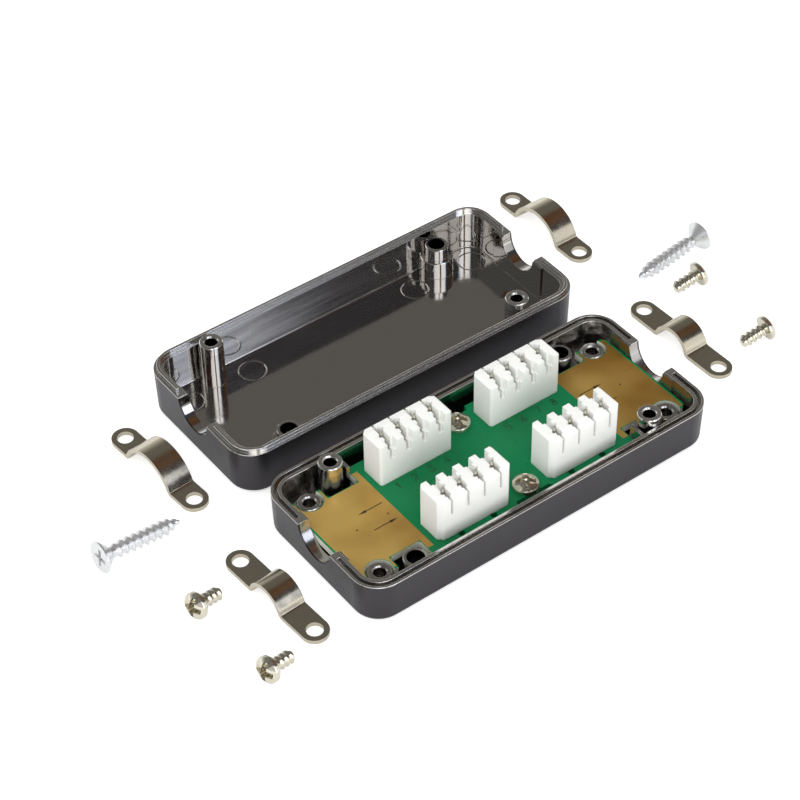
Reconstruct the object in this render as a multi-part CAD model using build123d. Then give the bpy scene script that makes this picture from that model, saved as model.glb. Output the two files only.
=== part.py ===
from build123d import *
import math
import os

# Cable junction box taken apart: two shell halves, the wiring board in the base half, clamps and screws.
# Millimetres, +Z up. The origin is the middle of the base half's underside, with X along the box.

# Shell halves, each seen with its open side up
box_length = 87.0
box_width = 37.5
corner_radius = 6.0
base_height = 9.8
lid_height = 10.9
floor_thickness = 1.7
rim_wall = 2.2
outer_draft = 1.5
inner_draft = 1.0
bottom_round = 1.3
inside_round = 0.35
rim_round = 0.15

# Rim joint: a groove round the base takes a tongue round the lid
outer_lip = 0.6
groove_width = 0.8
groove_depth = 1.3
tongue_height = 1.0
tongue_clearance = 0.075

# Cable entries: half a round hole in each end of each half, in a flat pad that thickens the end wall
entry_radius = 5.25
entry_pad_half_width = 8.1
entry_pad_depth = 0.4
entry_pad_drop = 0.3
entry_to_groove = 1.5

# Closing screws: a tall post with a pilot hole meets a low boss with a through hole
post_x = 29.5
post_y = 14.0
post_radius = 2.6
post_draft = 0.4
post_edge = 0.2
base_post_top = 11.6
lid_post_top = 12.6
post_end_gap = 0.3
pilot_radius = 1.3
mouth_chamfer = 0.3
through_radius = 1.8
sink_clearance = 0.15
lid_collar_radius = 3.7
lid_collar_top = 6.0
rib_thickness = 1.4
rib_drop = 1.6
rib_bite = 0.3

# Guide fins that stand in two of the board's corner notches
fin_thickness = 0.8
fin_length = 4.3
fin_top = 9.0
fin_gap = 0.25

# Wiring board
board_top = 6.5
board_thickness = 1.6
board_end_gap = 0.6
board_end_width = 26.2
board_mid_width = 29.0
board_corner = 1.0
post_notch_inner = 3.9
post_notch_outer = 3.4
post_notch_y = 10.1
notch_round = 0.8
waist_half_length = 4.5
waist_depth = 1.2
board_screw_y = 11.05
board_screw_hole_radius = 1.6
board_boss_radius = 2.7
peg_hole_radius = 0.75
peg_hole_x = 4.0
peg_hole_y = 13.4

# Bosses that the strap clamps screw to
clamp_x = 36.4
clamp_spacing = 23.4
clamp_boss_radius = 2.5
clamp_boss_drop = 0.2
clamp_shoulder_radius = 3.3
clamp_pilot_radius = 1.25
clamp_bite_radius = 2.9

# Terminal blocks
block_x = 13.85
block_inner_y = 6.2
block_length = 17.8
block_depth = 6.76
block_height = 10.5
block_outer_chamfer = 1.06
block_inner_chamfer = 0.45
block_end_bevel = 0.45
block_slope_start = 5.0
block_slope_drop = 0.6
slot_pitch = 4.0
slot_count = 4
mouth_width = 2.36
mouth_length = 1.6
mouth_depth = 2.4
cavity_width = 1.3
cavity_end = 5.6
cavity_depth = 8.0
wire_slot_width = 0.5
wire_slot_depth = 4.5
lead_in_width = 1.1
lead_in_depth = 0.7
face_groove_width = 1.3
face_groove_depth = 0.5

# Insulation displacement contacts, one in each slot, set at 45 degrees to the wire
contact_width = 2.9
contact_thickness = 0.5
contact_top = 9.8
contact_foot = 0.4
contact_slit_width = 0.4
contact_slit_depth = 6.4
contact_lead_in = 1.1
contact_y = 3.7
contact_angle = 45
contact_clearance = 0.05
tail_width = 0.65
tail_overhang = 1.2
tail_hole_radius = 0.5

# Strap clamps
strap_width = 5.8
strap_thickness = 0.95
strap_bend_radius = 0.5
strap_hole_radius = 1.75
wide_foot_gap = 13.5
wide_rise = 6.2
narrow_foot_gap = 8.3
narrow_rise = 4.8

# Long countersunk screws with a coarse thread and a point
long_screw_length = 19.0
long_head_radius = 3.4
long_head_land = 0.35
long_core_radius = 1.15
long_crest_radius = 1.75
long_pitch = 1.57
long_ridge_width = 1.0
long_point_length = 3.6
long_recess_depth = 1.9
long_recess_width = 3.6

# Small pan-head screws with a coarse thread for plastic
small_head_radius = 2.8
small_head_height = 2.0
small_head_edge = 0.9
small_core_radius = 1.1
small_crest_radius = 1.5
small_pitch = 1.3
small_ridge_width = 0.7
clamp_screw_length = 6.0
board_screw_length = 5.0
small_end_chamfer = 0.35
small_recess_depth = 1.1
small_recess_width = 2.9
recess_slot_ratio = 0.28
formed_thread_clearance = 0.03

# Thin raised rings that the mould's ejector pins leave on the lid floor
ejector_radius = 3.0
ejector_ring_width = 0.3
ejector_ring_height = 0.12
ejector_x = (21.5, 37.2)
ejector_y = 11.3

# Where the loose pieces lie: x, y of the middle, and the turn about Z
lid_place = (0.4, 43.0)
wide_clamp_places = [(-52.15, 42.59, -85.9), (59.24, 54.68, -89.4)]
narrow_clamp_places = [(-52.86, -0.5, -86.9), (58.05, 7.49, -88.9)]
long_screw_places = [(72.91, 28.09, -177.2), (-66.59, 26.86, 2.0)]
small_screw_places = [
    (71.24, 19.56, 174.4),
    (70.71, -2.42, 173.3),
    (-65.28, 5.67, 12.5),
    (-63.37, -15.81, 12.1),
]

# Sizes that follow from the ones above
closed_height = base_height + lid_height
base_boss_top = closed_height - lid_post_top - post_end_gap
lid_boss_top = closed_height - base_post_top - post_end_gap
inner_x = box_length / 2 - rim_wall
inner_y = box_width / 2 - rim_wall
board_bottom = board_top - board_thickness
clamp_y = clamp_spacing / 2
tall_places = [(-post_x, post_y), (post_x, -post_y)]
low_places = [(-post_x, -post_y), (post_x, post_y)]
clamp_boss_places = [(x, y) for x in (-clamp_x, clamp_x) for y in (-clamp_y, clamp_y)]
board_screw_places = [(0, -board_screw_y), (0, board_screw_y)]
small_length = small_head_height + clamp_screw_length
overcut = 1.0

ON_FLOOR = (Align.CENTER, Align.CENTER, Align.MIN)


# Shell halves

def plan(inset):
    """Rounded outline of the box, drawn in all round by the inset."""
    return RectangleRounded(box_length - 2 * inset, box_width - 2 * inset, corner_radius - inset)


def drafted_block(inset, z_low, z_high, draft):
    """Block with the full outline at z_high, tapering towards z_low as the mould draws."""
    return extrude(Plane.XY.offset(z_high) * plan(inset), z_high - z_low, dir=(0, 0, -1), taper=draft)


def rim_ring(z_low, z_high, clearance=0):
    """Ring along the rim and stops short of both cable entries, thinner all round by the clearance."""
    section = plan(outer_lip + clearance) - plan(outer_lip + groove_width - clearance)
    gap_half_width = entry_radius + entry_to_groove + clearance
    entry_gap = Rectangle(box_length, 2 * gap_half_width)
    return extrude(Plane.XY.offset(z_low) * (section - entry_gap), z_high - z_low)


def entry_pads(height):
    """Flat pads that thicken both end walls round the cable entries."""
    pad_height = height - entry_pad_drop - floor_thickness / 2
    pad = Box(entry_pad_depth + rib_bite, 2 * entry_pad_half_width, pad_height, align=ON_FLOOR)
    pad_x = inner_x + (rib_bite - entry_pad_depth) / 2
    return [Pos(x, 0, floor_thickness / 2) * pad for x in (-pad_x, pad_x)]


def tray(height):
    """Open tray with drafted walls, a rounded bottom edge and a rounded corner inside the floor."""
    outside = drafted_block(0, 0, height, outer_draft)
    outside = fillet(outside.faces().sort_by(Axis.Z)[0].edges(), bottom_round)
    inside = drafted_block(rim_wall, floor_thickness, height, inner_draft)
    inside = fillet(inside.faces().sort_by(Axis.Z)[0].edges(), inside_round)
    return outside - inside


def cable_passage(z):
    """Round passage along the box, centred on the joint plane."""
    return Pos(0, 0, z) * Rot(0, 90, 0) * Cylinder(entry_radius, box_length + 2 * overcut)


def post(place, z_top, radius=post_radius):
    """Moulded post on the floor, a little slimmer at the top, where its edge is broken."""
    height = z_top - floor_thickness / 2
    top_radius = radius - height * math.tan(math.radians(post_draft))
    column = Cone(radius, top_radius, height, align=ON_FLOOR)
    column = chamfer(column.edges().group_by(Axis.Z)[-1], post_edge)
    return Pos(*place, floor_thickness / 2) * column


def wall_rib(place, z_top):
    """Rib that ties a post to the long wall beside it."""
    x, y = place
    reach = inner_y + rib_bite - abs(y)
    middle = math.copysign(abs(y) + reach / 2, y)
    height = z_top - floor_thickness / 2
    return Pos(x, middle, floor_thickness / 2) * Box(rib_thickness, reach, height, align=ON_FLOOR)


def hole(place, z_low, z_high, radius):
    """Upright hole between two levels, run past the upper one."""
    return Pos(*place, z_low) * Cylinder(radius, z_high - z_low + overcut, align=ON_FLOOR)


def pilot_hole(place, z_top, radius):
    """Blind hole down to the floor, chamfered at its mouth for the screw's first turn."""
    mouth = Cone(radius, radius + 2 * mouth_chamfer, 2 * mouth_chamfer)
    return [hole(place, floor_thickness, z_top, radius), Pos(*place, z_top) * mouth]


def softened(shell, *levels):
    """Shell with the rim's edges at these levels rounded."""
    edges = [edge for z in levels for edge in shell.edges().filter_by_position(Axis.Z, z, z)]
    return fillet(edges, rim_round)


def screw_passage(place, z_top):
    """Through hole for a closing screw, countersunk from the outside of the shell."""
    sink_radius = long_head_radius + sink_clearance
    sink = Cone(sink_radius, through_radius, sink_radius - through_radius, align=ON_FLOOR)
    return [Pos(*place, 0) * sink, hole(place, -overcut, z_top, through_radius)]


def guide_fin(place):
    """Thin fin beside a tall post, against the edge of the board's corner notch."""
    x, y = place
    fin_x = math.copysign(post_x - post_notch_inner + fin_gap + fin_thickness / 2, x)
    fin_y = math.copysign(inner_y + rib_bite - fin_length / 2, y)
    height = fin_top - floor_thickness / 2
    return Pos(fin_x, fin_y, floor_thickness / 2) * Box(fin_thickness, fin_length, height, align=ON_FLOOR)


def base_shell():
    """Lower half: groove round the rim, posts, and bosses for the board and the strap clamps."""
    groove = rim_ring(base_height - groove_depth, base_height)
    shell = softened(tray(base_height) - groove, base_height)
    rib_top = base_height - rib_drop
    added = [post(place, base_post_top) for place in tall_places]
    added += [post(place, base_boss_top) for place in low_places]
    added += [wall_rib(place, rib_top) for place in tall_places]
    added += [wall_rib(place, min(rib_top, base_boss_top)) for place in low_places]
    added += [guide_fin(place) for place in tall_places]
    for place in clamp_boss_places:
        added.append(post(place, board_top - clamp_boss_drop, clamp_boss_radius))
        added.append(post(place, board_bottom, clamp_shoulder_radius))
    added += [post(place, board_bottom, board_boss_radius) for place in board_screw_places]
    added += entry_pads(base_height)

    shell = shell + added
    cuts = [cable_passage(base_height)]
    for place in tall_places:
        cuts += pilot_hole(place, base_post_top, pilot_radius)
    for place in clamp_boss_places:
        cuts += pilot_hole(place, board_top - clamp_boss_drop, clamp_pilot_radius)
    formed_radius = small_crest_radius + formed_thread_clearance
    screw_end = board_top - board_screw_length
    for place in board_screw_places:
        cuts.append(hole(place, screw_end - formed_thread_clearance, board_bottom, formed_radius))
    for place in low_places:
        cuts += screw_passage(place, base_boss_top)
    return shell - cuts


def ejector_ring():
    """Low ring with a ridged top, its lower half sunk into the floor."""
    half = ejector_ring_width / 2
    section = Polyline(
        (ejector_radius - half, -ejector_ring_height),
        (ejector_radius + half, -ejector_ring_height),
        (ejector_radius + half, 0),
        (ejector_radius, ejector_ring_height),
        (ejector_radius - half, 0),
        close=True,
    )
    return revolve(Plane.XZ * make_face(section), Axis.Z)


def lid_shell():
    """Upper half, open side up: tongue round the rim, posts, and the rings left by the ejector pins."""
    tongue_top = lid_height + tongue_height
    tongue = rim_ring(lid_height, tongue_top, tongue_clearance)
    shell = softened(tray(lid_height) + tongue, tongue_top)
    rib_top = lid_height - rib_drop
    added = [post(place, lid_post_top) for place in tall_places]
    added += [post(place, lid_boss_top) for place in low_places]
    added += [post(place, lid_collar_top, lid_collar_radius) for place in low_places]
    added += [wall_rib(place, rib_top) for place in tall_places]
    added += [wall_rib(place, lid_boss_top) for place in low_places]
    added += entry_pads(lid_height)
    ring = ejector_ring()
    for x in ejector_x:
        for side_x, side_y in ((-1, -1), (-1, 1), (1, -1), (1, 1)):
            added.append(Pos(side_x * x, side_y * ejector_y, floor_thickness) * ring)

    shell = shell + added
    cuts = [cable_passage(lid_height)]
    for place in tall_places:
        cuts += pilot_hole(place, lid_post_top, pilot_radius)
    for place in low_places:
        cuts += screw_passage(place, lid_boss_top)
    return shell - cuts


# Wiring board

def circuit_board():
    """Board notched round the posts, with bites round the clamp bosses and holes for contacts and screws."""
    length = 2 * (inner_x - board_end_gap)
    wide_half = post_x - post_notch_inner
    outline = Rectangle(length, board_end_width) + Rectangle(2 * wide_half, board_mid_width)
    columns = outline.vertices().group_by(Axis.X)
    outline = chamfer(columns[0] + columns[-1], board_corner)
    notch_length = post_notch_inner + post_notch_outer
    notch_x = post_x + (post_notch_outer - post_notch_inner) / 2
    notch_depth = board_mid_width / 2 - post_notch_y
    cuts = []
    for side_x in (-1, 1):
        for side_y in (-1, 1):
            notch = RectangleRounded(notch_length, 2 * notch_depth, notch_round)
            cuts.append(Pos(side_x * notch_x, side_y * board_mid_width / 2) * notch)
    for side_y in (-1, 1):
        waist = RectangleRounded(2 * waist_half_length, 2 * waist_depth, notch_round)
        cuts.append(Pos(0, side_y * board_mid_width / 2) * waist)
    cuts += [Pos(*place) * Circle(clamp_bite_radius) for place in clamp_boss_places]
    cuts += [Pos(*place) * Circle(board_screw_hole_radius) for place in board_screw_places]
    for x in (-block_x - peg_hole_x, -block_x + peg_hole_x, block_x - peg_hole_x, block_x + peg_hole_x):
        cuts += [Pos(x, side_y * peg_hole_y) * Circle(peg_hole_radius) for side_y in (-1, 1)]
    tail_hole = Circle(tail_hole_radius)
    cuts += [place * tail_hole for place in contact_places(0)]
    return Pos(0, 0, board_bottom) * extrude(outline - cuts, board_thickness)


def block_places(z):
    """Where the four blocks stand, the far pair turned to face the near pair across the board."""
    near = [Pos(x, -block_inner_y, z) * Rot(0, 0, 180) for x in (-block_x, block_x)]
    far = [Pos(x, block_inner_y, z) for x in (-block_x, block_x)]
    return near + far


def slot_offsets():
    """Slot centres along a block."""
    return [(i - (slot_count - 1) / 2) * slot_pitch for i in range(slot_count)]


def contact_places(z):
    """Where the contacts stand, slot by slot, block by block."""
    seats = [Pos(x, contact_y, 0) * Rot(0, 0, contact_angle) for x in slot_offsets()]
    return [block * seat for block in block_places(z) for seat in seats]


# Terminal blocks and contacts

def terminal_block():
    """Block with a comb of teeth: each gap is a mouth, a cavity for a contact and a narrow wire slot."""
    profile = Polyline(
        (0, 0),
        (block_depth, 0),
        (block_depth, block_height - block_slope_drop),
        (block_slope_start, block_height),
        (0, block_height),
        close=True,
    )
    side = Plane(origin=(-block_length / 2, 0, 0), x_dir=(0, 1, 0), z_dir=(1, 0, 0))
    body = extrude(side * make_face(profile), block_length)
    uprights = body.edges().filter_by(Axis.Z).group_by(Axis.Y)
    body = chamfer(uprights[-1], block_outer_chamfer)
    uprights = body.edges().filter_by(Axis.Z).group_by(Axis.Y)
    body = chamfer(uprights[0], block_inner_chamfer)
    ends = body.faces().group_by(Axis.Z)[-1].edges().group_by(Axis.X)
    body = chamfer(ends[0] + ends[-1], block_end_bevel)

    slot_floor = block_height - wire_slot_depth
    lead_in = Polyline(
        (-lead_in_width / 2, 0),
        (lead_in_width / 2, 0),
        (0, -lead_in_depth - lead_in_width / 2),
        close=True,
    )
    cuts = []
    rising = (Align.CENTER, Align.MIN, Align.MIN)
    hanging = (Align.CENTER, Align.MIN, Align.MAX)
    for x in slot_offsets():
        mouth = Box(mouth_width, mouth_length, mouth_depth, align=hanging)
        cuts.append(Pos(x, 0, block_height) * mouth)
        cavity_length = cavity_end - mouth_length
        cavity = Box(cavity_width, cavity_length, cavity_depth, align=hanging)
        cuts.append(Pos(x, mouth_length, block_height) * cavity)
        wire_slot = Box(wire_slot_width, block_depth, wire_slot_depth, align=rising)
        cuts.append(Pos(x, 0, slot_floor) * wire_slot)
        groove = Box(face_groove_width, face_groove_depth, wire_slot_depth, align=rising)
        cuts.append(Pos(x, 0, slot_floor) * groove)
        outer_face = Plane(origin=(x, cavity_end, block_height - block_slope_drop + lead_in_depth),
                           x_dir=(1, 0, 0), z_dir=(0, -1, 0))
        cuts.append(extrude(outer_face * make_face(lead_in), -(block_depth - cavity_end)))
        seat_width = contact_width + 2 * contact_clearance
        seat_thickness = contact_thickness + 2 * contact_clearance
        seat = Box(seat_width, seat_thickness, block_height, align=ON_FLOOR)
        cuts.append(Pos(x, contact_y, 0) * Rot(0, 0, contact_angle) * seat)
    return body - cuts


def contact():
    """Flat contact with a slit between two tines above and a tail through the board below."""
    half = contact_width / 2
    tail = tail_width / 2
    slit = contact_slit_width / 2
    mouth = contact_lead_in / 2
    mouth_floor = contact_top - (mouth - slit)
    slit_floor = contact_top - contact_slit_depth
    tail_end = -board_thickness - tail_overhang
    outline = Polyline(
        (-half, contact_foot), (-tail, contact_foot), (-tail, tail_end), (tail, tail_end),
        (tail, contact_foot), (half, contact_foot), (half, mouth_floor), (mouth, contact_top),
        (slit, mouth_floor), (slit, slit_floor), (-slit, slit_floor), (-slit, mouth_floor),
        (-mouth, contact_top), (-half, mouth_floor),
        close=True,
    )
    middle = Plane(origin=(0, 0, 0), x_dir=(1, 0, 0), z_dir=(0, -1, 0))
    return extrude(middle * make_face(outline), contact_thickness / 2, both=True)


# Strap clamps

def strap_clamp(foot_gap, rise):
    """Strap bent from flat stock: two ears with a screw hole each and an arch between them."""
    inner_rise = rise - strap_thickness
    arch_radius = foot_gap ** 2 / (8 * inner_rise) + inner_rise / 2 + strap_thickness / 2
    bend_radius = strap_bend_radius + strap_thickness / 2
    arch_centre_z = rise - strap_thickness / 2 - arch_radius
    bend_centre_z = strap_thickness / 2 + bend_radius
    angle = math.degrees(math.acos((bend_centre_z - arch_centre_z) / (arch_radius + bend_radius)))
    foot_x = (arch_radius + bend_radius) * math.sin(math.radians(angle))
    ear_x = clamp_spacing / 2 + strap_width / 2

    ear = Line((-ear_x, strap_thickness / 2), (-foot_x, strap_thickness / 2))
    rise_arc = JernArc(ear @ 1, ear % 1, bend_radius, angle)
    arch = JernArc(rise_arc @ 1, rise_arc % 1, arch_radius, -2 * angle)
    fall_arc = JernArc(arch @ 1, arch % 1, bend_radius, angle)
    far_ear = Line(fall_arc @ 1, (ear_x, strap_thickness / 2))
    upright = Plane(origin=(0, 0, 0), x_dir=(1, 0, 0), z_dir=(0, -1, 0))
    path = upright * Wire([ear, rise_arc, arch, fall_arc, far_ear])
    stock = Rectangle(strap_width, strap_thickness)
    strap = sweep(Plane(origin=path @ 0, x_dir=(0, 1, 0), z_dir=path % 0) * stock, path=path)
    rounded_ends = extrude(SlotCenterToCenter(clamp_spacing, strap_width), rise)
    holes = [Pos(x, 0, -overcut) * Cylinder(strap_hole_radius, strap_thickness + 2 * overcut, align=ON_FLOOR)
             for x in (-clamp_spacing / 2, clamp_spacing / 2)]
    return (strap & rounded_ends) - holes


# Screws, drawn along X from the head's face to the tip

def turned(points):
    """Solid of revolution about X from its half outline."""
    return revolve(make_face(Polyline(*points, close=True)), Axis.X)


def cross_recess(width, depth):
    """Cross whose four wings narrow towards the bottom, its mouth in the head's face."""
    slot = width * recess_slot_ratio
    cross = Rectangle(width, slot) + Rectangle(slot, width)
    wings = Rot(0, 90, 0) * Cone(width / 2, slot / 2, depth, align=ON_FLOOR)
    return extrude(Plane.YZ * cross, depth) & wings


def long_screw_crests():
    """Distance along the screw and radius of each thread crest, running down to nothing at the point."""
    point_start = long_screw_length - long_point_length
    first = long_head_land + long_head_radius - long_core_radius + long_ridge_width / 2
    crests = []
    s = first
    while s + long_ridge_width < long_screw_length:
        share = min(1.0, (long_screw_length - s) / long_point_length)
        crests.append((s, share * long_crest_radius if s > point_start else long_crest_radius))
        s += long_pitch
    return crests


def core_radius_at(s):
    """Radius of the thread's core, straight and then tapering to the point."""
    return long_core_radius * min(1.0, (long_screw_length - s) / long_point_length)


def long_screw():
    """Countersunk screw whose thread is drawn as ridges at its pitch."""
    head_end = long_head_land + long_head_radius - long_core_radius
    points = [(0, 0), (0, long_head_radius), (long_head_land, long_head_radius)]
    points.append((head_end, long_core_radius))
    half = long_ridge_width / 2
    for s, crest_radius in long_screw_crests():
        if s - half > points[-1][0]:
            points.append((s - half, core_radius_at(s - half)))
        points.append((s, crest_radius))
        points.append((s + half, core_radius_at(s + half)))
    points.append((long_screw_length, 0))
    return turned(points) - cross_recess(long_recess_width, long_recess_depth)


def small_screw_crests(shank_length):
    """Distance along the screw of each thread crest, from the tip back to the head."""
    last = small_head_height + shank_length - small_end_chamfer - small_ridge_width / 2
    count = int((shank_length - small_end_chamfer - small_ridge_width) / small_pitch) + 1
    return [last - small_pitch * i for i in reversed(range(count))]


def small_screw(shank_length):
    """Pan-head screw with a domed head, a thread drawn as ridges at its pitch and a blunt chamfered end."""
    dome_rise = small_head_height - small_head_edge
    dome_radius = (small_head_radius ** 2 + dome_rise ** 2) / (2 * dome_rise)
    dome = Pos(dome_radius, 0, 0) * Sphere(dome_radius)
    head = Rot(0, 90, 0) * Cylinder(small_head_radius, small_head_height, align=ON_FLOOR)
    end = small_head_height + shank_length
    points = [(small_head_edge, 0), (small_head_edge, small_core_radius)]
    for s in small_screw_crests(shank_length):
        points.append((s - small_ridge_width / 2, small_core_radius))
        points.append((s, small_crest_radius))
        points.append((s + small_ridge_width / 2, small_core_radius))
    points += [(end, small_core_radius - small_end_chamfer), (end, 0)]
    return (head & dome) + turned(points) - cross_recess(small_recess_width, small_recess_depth)


def lying(screw, length, rim, touch_points):
    """Screw tipped until its head's rim and one crest of its thread rest on the floor."""
    rim_s, rim_radius = rim
    slope = min((rim_radius - radius) / (s - rim_s) for s, radius in touch_points)
    tilt = math.degrees(math.atan(slope))
    lift = rim_s * math.sin(math.radians(tilt)) + rim_radius * math.cos(math.radians(tilt))
    centred = Pos(-length / 2 * math.cos(math.radians(tilt)), 0, lift)
    return centred * Rot(0, tilt, 0) * screw


# Every piece in its place

def pieces():
    """Node names and solids."""
    nodes = {
        "base_shell": base_shell(),
        "lid_shell": Pos(*lid_place) * lid_shell(),
        "circuit_board": circuit_board(),
    }

    block = terminal_block()
    for i, place in enumerate(block_places(board_top)):
        nodes[f"terminal_block_{i + 1}"] = place * block
    blade = contact()
    for i, place in enumerate(contact_places(board_top)):
        nodes[f"contact_{i // slot_count + 1}_{i % slot_count + 1}"] = place * blade

    standing = small_screw(board_screw_length)
    for i, (x, y) in enumerate(board_screw_places):
        nodes[f"board_screw_{i + 1}"] = Pos(x, y, board_top + small_head_height) * Rot(0, 90, 0) * standing

    for kind, gap, rise, places in (
        ("wide", wide_foot_gap, wide_rise, wide_clamp_places),
        ("narrow", narrow_foot_gap, narrow_rise, narrow_clamp_places),
    ):
        strap = strap_clamp(gap, rise)
        for i, (x, y, turn) in enumerate(places):
            nodes[f"{kind}_clamp_{i + 1}"] = Pos(x, y) * Rot(0, 0, turn) * strap

    long_rim = (long_head_land, long_head_radius)
    long_one = lying(long_screw(), long_screw_length, long_rim, long_screw_crests())
    for i, (x, y, turn) in enumerate(long_screw_places):
        nodes[f"closing_screw_{i + 1}"] = Pos(x, y) * Rot(0, 0, turn) * long_one

    small_rim = (small_head_height, small_head_radius)
    small_crests = [(s, small_crest_radius) for s in small_screw_crests(clamp_screw_length)]
    small_one = lying(small_screw(clamp_screw_length), small_length, small_rim, small_crests)
    for i, (x, y, turn) in enumerate(small_screw_places):
        nodes[f"clamp_screw_{i + 1}"] = Pos(x, y) * Rot(0, 0, turn) * small_one
    return nodes


os.makedirs("parts", exist_ok=True)
for name, shape in pieces().items():
    shape.label = name
    export_step(shape, f"parts/{name}.step")
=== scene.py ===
"""Looks of a cable junction box that lies taken apart: finishes, threads, board print and a plain studio."""

import logging
import math
from dataclasses import dataclass, replace
from enum import Enum

import bpy
import numpy as np
from mathutils import Matrix, Vector


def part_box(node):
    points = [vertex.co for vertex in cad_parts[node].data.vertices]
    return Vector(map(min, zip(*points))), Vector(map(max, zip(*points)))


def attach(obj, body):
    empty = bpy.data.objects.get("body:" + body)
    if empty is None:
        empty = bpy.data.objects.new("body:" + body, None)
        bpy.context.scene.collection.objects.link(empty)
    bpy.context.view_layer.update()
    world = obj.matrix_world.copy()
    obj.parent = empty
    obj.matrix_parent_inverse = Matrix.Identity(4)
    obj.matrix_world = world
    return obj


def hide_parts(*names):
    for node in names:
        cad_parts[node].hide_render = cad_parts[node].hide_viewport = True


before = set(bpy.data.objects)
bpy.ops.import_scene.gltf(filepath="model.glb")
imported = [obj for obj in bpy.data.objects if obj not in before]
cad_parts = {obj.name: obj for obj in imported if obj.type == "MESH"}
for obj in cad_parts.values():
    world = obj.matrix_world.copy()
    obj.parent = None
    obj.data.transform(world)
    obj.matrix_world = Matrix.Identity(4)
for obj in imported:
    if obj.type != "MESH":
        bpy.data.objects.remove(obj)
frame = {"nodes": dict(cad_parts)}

MM = 0.001
BODY = "root"
NOISE_SPAN = (0.3, 0.7)  # Nearly all values of a noise texture lie between these
BEYOND = 10.0  # Metres that nothing here reaches: leaves an axis out of a test
log = logging.getLogger("junction_box")


def linear(hex_colour: str) -> tuple[float, float, float, float]:
    """Turns an sRGB hex colour into linear red, green, blue and alpha.

    Args:
        hex_colour: six hex digits after a hash.

    Returns:
        The linear colour, with alpha 1.
    """
    parts = [int(hex_colour[i:i + 2], 16) / 255 for i in (1, 3, 5)]
    low = [c / 12.92 if c <= 0.04045 else ((c + 0.055) / 1.055) ** 2.4 for c in parts]
    return (*low, 1.0)


def add_node(tree: bpy.types.NodeTree, kind: str, values: dict | None = None, links: dict | None = None,
             **settings: object) -> bpy.types.Node:
    """Adds one node with its settings, input values and incoming links.

    Args:
        tree: node tree that gets the node.
        kind: Blender's type name of the node.
        values: input name or number to its constant value.
        links: input name or number to the output socket that feeds it.
        settings: attributes of the node.

    Returns:
        The new node.
    """
    node = tree.nodes.new(kind)
    for key, value in settings.items():
        setattr(node, key, value)
    for key, value in (values or {}).items():
        node.inputs[key].default_value = value
    for key, socket in (links or {}).items():
        tree.links.new(socket, node.inputs[key])
    return node


def ramp(tree: bpy.types.NodeTree, value: bpy.types.NodeSocket, start: float, end: float,
         stops: tuple[tuple[float, str], ...]) -> bpy.types.NodeSocket:
    """Colour that follows a value.

    Args:
        tree: node tree that gets the nodes.
        value: socket of the value.
        start: lowest value.
        end: highest value.
        stops: value and sRGB hex colour of each stop, in rising order.

    Returns:
        The socket of the colour.
    """
    share = add_node(tree, "ShaderNodeMapRange", {"From Min": start, "From Max": end}, {"Value": value})
    made = add_node(tree, "ShaderNodeValToRGB", {}, {0: share.outputs[0]})
    elements = made.color_ramp.elements
    for i, (at, colour) in enumerate(stops):
        element = elements[i] if i < 2 else elements.new(1.0)
        element.position = (at - start) / (end - start)
        element.color = linear(colour)
    return made.outputs[0]


def product(tree: bpy.types.NodeTree, tests: list[tuple]) -> bpy.types.NodeSocket:
    """Mask that is one where every test holds.

    Args:
        tree: node tree of the material.
        tests: operation, socket and limit of each test.

    Returns:
        The socket of the mask.
    """
    mask = None
    for operation, socket, limit in tests:
        test = add_node(tree, "ShaderNodeMath", {1: limit}, {0: socket}, operation=operation).outputs[0]
        if mask is None:
            mask = test
        else:
            mask = add_node(tree, "ShaderNodeMath", {}, {0: mask, 1: test}, operation="MULTIPLY").outputs[0]
    return mask


def stretched_noise(tree: bpy.types.NodeTree, place: bpy.types.NodeSocket,
                    size_mm: tuple[float, float, float]) -> bpy.types.NodeSocket:
    """Noise whose marks are longer one way than the others.

    Args:
        tree: node tree of the material.
        place: Object coordinates.
        size_mm: size of the marks along each axis.

    Returns:
        The socket of the noise.
    """
    stretched = add_node(tree, "ShaderNodeMapping", {"Scale": tuple(1 / (v * MM) for v in size_mm)},
                         {"Vector": place})
    noise = add_node(tree, "ShaderNodeTexNoise", {"Scale": 1.0, "Detail": 2.0},
                     {"Vector": stretched.outputs[0]})
    return noise.outputs["Fac"]


def ray_kinds(tree: bpy.types.NodeTree) -> tuple[bpy.types.NodeSocket, bpy.types.NodeSocket]:
    """Masks of the rays that come from the camera, and of those that a surface mirrors or lets through.

    Args:
        tree: node tree that gets the nodes.

    Returns:
        The sockets of both masks.
    """
    path = add_node(tree, "ShaderNodeLightPath").outputs
    mirrored = add_node(tree, "ShaderNodeMath", {},
                        {0: path["Is Glossy Ray"], 1: path["Is Transmission Ray"]}, operation="MAXIMUM")
    return path["Is Camera Ray"], mirrored.outputs[0]


# Meshes


def grid_faces(rows: int, columns: int, wrap_rows: bool = False, wrap_columns: bool = False) -> np.ndarray:
    """Corner numbers of the quads between neighbouring rows and columns of a grid.

    Args:
        rows: number of rows.
        columns: number of columns.
        wrap_rows: joins the last row to the first.
        wrap_columns: joins the last column to the first.

    Returns:
        One line of four corner numbers for each quad.
    """
    i = np.arange(rows if wrap_rows else rows - 1)
    j = np.arange(columns if wrap_columns else columns - 1)
    i, j = (a.ravel() for a in np.meshgrid(i, j, indexing="ij"))
    up, right = (i + 1) % rows, (j + 1) % columns
    return np.stack([i * columns + j, i * columns + right, up * columns + right, up * columns + j], axis=1)


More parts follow.
